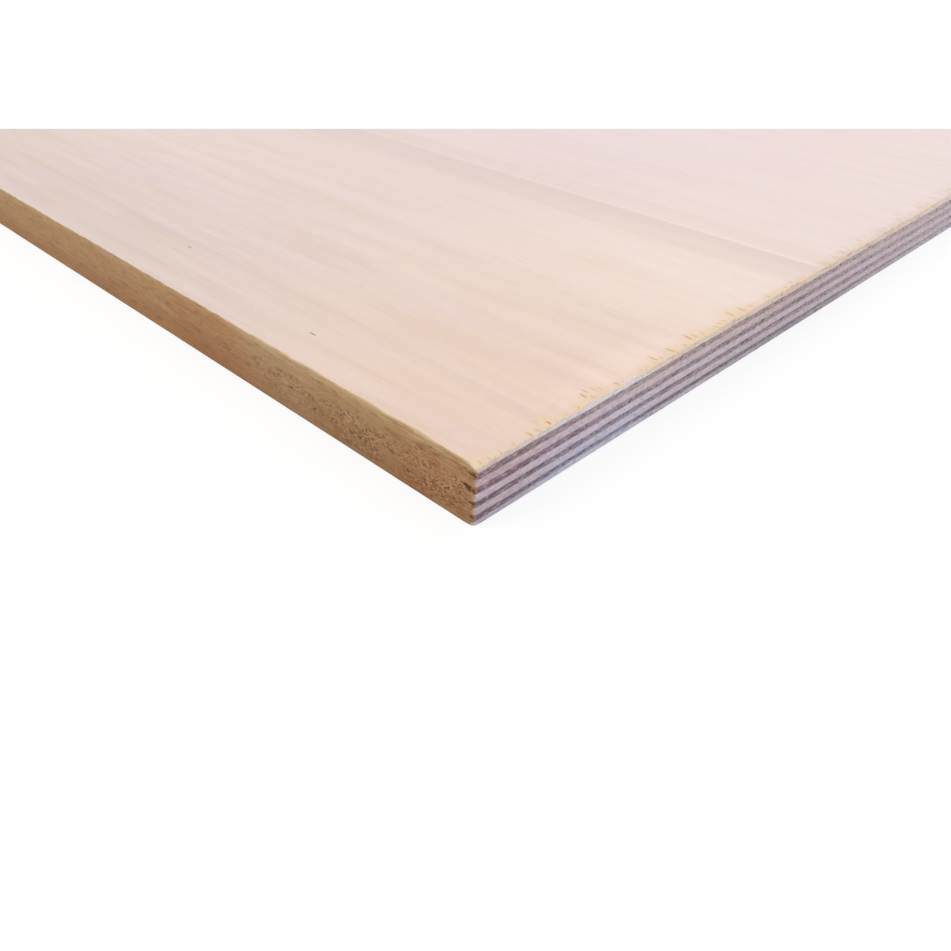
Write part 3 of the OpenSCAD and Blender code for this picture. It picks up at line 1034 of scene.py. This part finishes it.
def studio_floor():
    """Pale floor just under the sheet, white to the camera, with the sheet's shadow kept."""
    edge = np.array([[-1, -1], [1, -1], [1, 1], [-1, 1]]) * FLOOR_HALF
    mesh = bpy.data.meshes.new("floor")
    mesh.from_pydata(np.column_stack([edge, np.full(4, -FLOOR_DROP)]), [], [(0, 1, 2, 3)])
    material = bpy.data.materials.new("floor")
    tree = empty_tree(material)
    diffuse = add(tree, "BsdfDiffuse", {"Color": (FLOOR_GREY, FLOOR_GREY, FLOOR_GREY, 1)}).outputs[0]
    white = add(tree, "Emission", {"Color": WHITE, "Strength": FLOOR_GLOW}).outputs[0]
    seen = times(add(tree, "LightPath").outputs["Is Camera Ray"], GLOW_SHARE)
    shown = add(tree, "MixShader", {0: seen, 1: diffuse, 2: white}).outputs[0]
    add(tree, "OutputMaterial", {"Surface": shown})
    mesh.materials.append(material)
    floor = put("floor", mesh)


def studio_light():
    """White surroundings at strength 1 for what is seen, SKY for what lights the sheet, and two broad soft suns."""
    world = bpy.data.worlds.new("studio")
    tree = empty_tree(world)
    path = add(tree, "LightPath").outputs
    seen = plus(plus(path["Is Camera Ray"], path["Is Glossy Ray"]), path["Is Transmission Ray"], clamp=True)
    strength = plus(SKY, times(seen, 1 - SKY))
    back = add(tree, "Background", {"Color": WHITE, "Strength": strength})
    add(tree, "OutputWorld", {"Surface": back.outputs[0]})
    bpy.context.scene.world = world
    for name, towards, power in SUNS:
        lamp = bpy.data.lights.new(name, "SUN")
        lamp.energy = power
        lamp.angle = SUN_WIDTH
        axis = np.array(towards) / np.linalg.norm(towards)
        side = np.cross([0, 0, 1], axis)
        put(name, lamp).matrix_world = facing(side / np.linalg.norm(side), axis)


def studio_camera():
    """Pinhole camera of the photograph, which looks down at the corner."""
    level = math.cos(CAMERA_TILT)
    back = np.array([math.sin(CAMERA_TURN) * level, -math.cos(CAMERA_TURN) * level, math.sin(CAMERA_TILT)])
    right = np.array([math.cos(CAMERA_TURN), math.sin(CAMERA_TURN), 0])
    data = bpy.data.cameras.new("camera")
    data.sensor_width = SENSOR_WIDTH
    data.lens = SENSOR_WIDTH * FOCAL_PIXELS / PHOTO_PIXELS
    data.clip_start, data.clip_end = NEAR_DEPTH, CUT_DEPTH
    matrix = facing(right, back)
    matrix.translation = (HALF_L + STAND_X, -HALF_W - STAND_Y, SHEET_T + STAND_Z)
    camera = put("camera", data)
    camera.matrix_world = matrix
    bpy.context.scene.camera = camera


studio_floor()
studio_light()
studio_camera()
bpy.context.scene.view_settings.view_transform = "Standard"
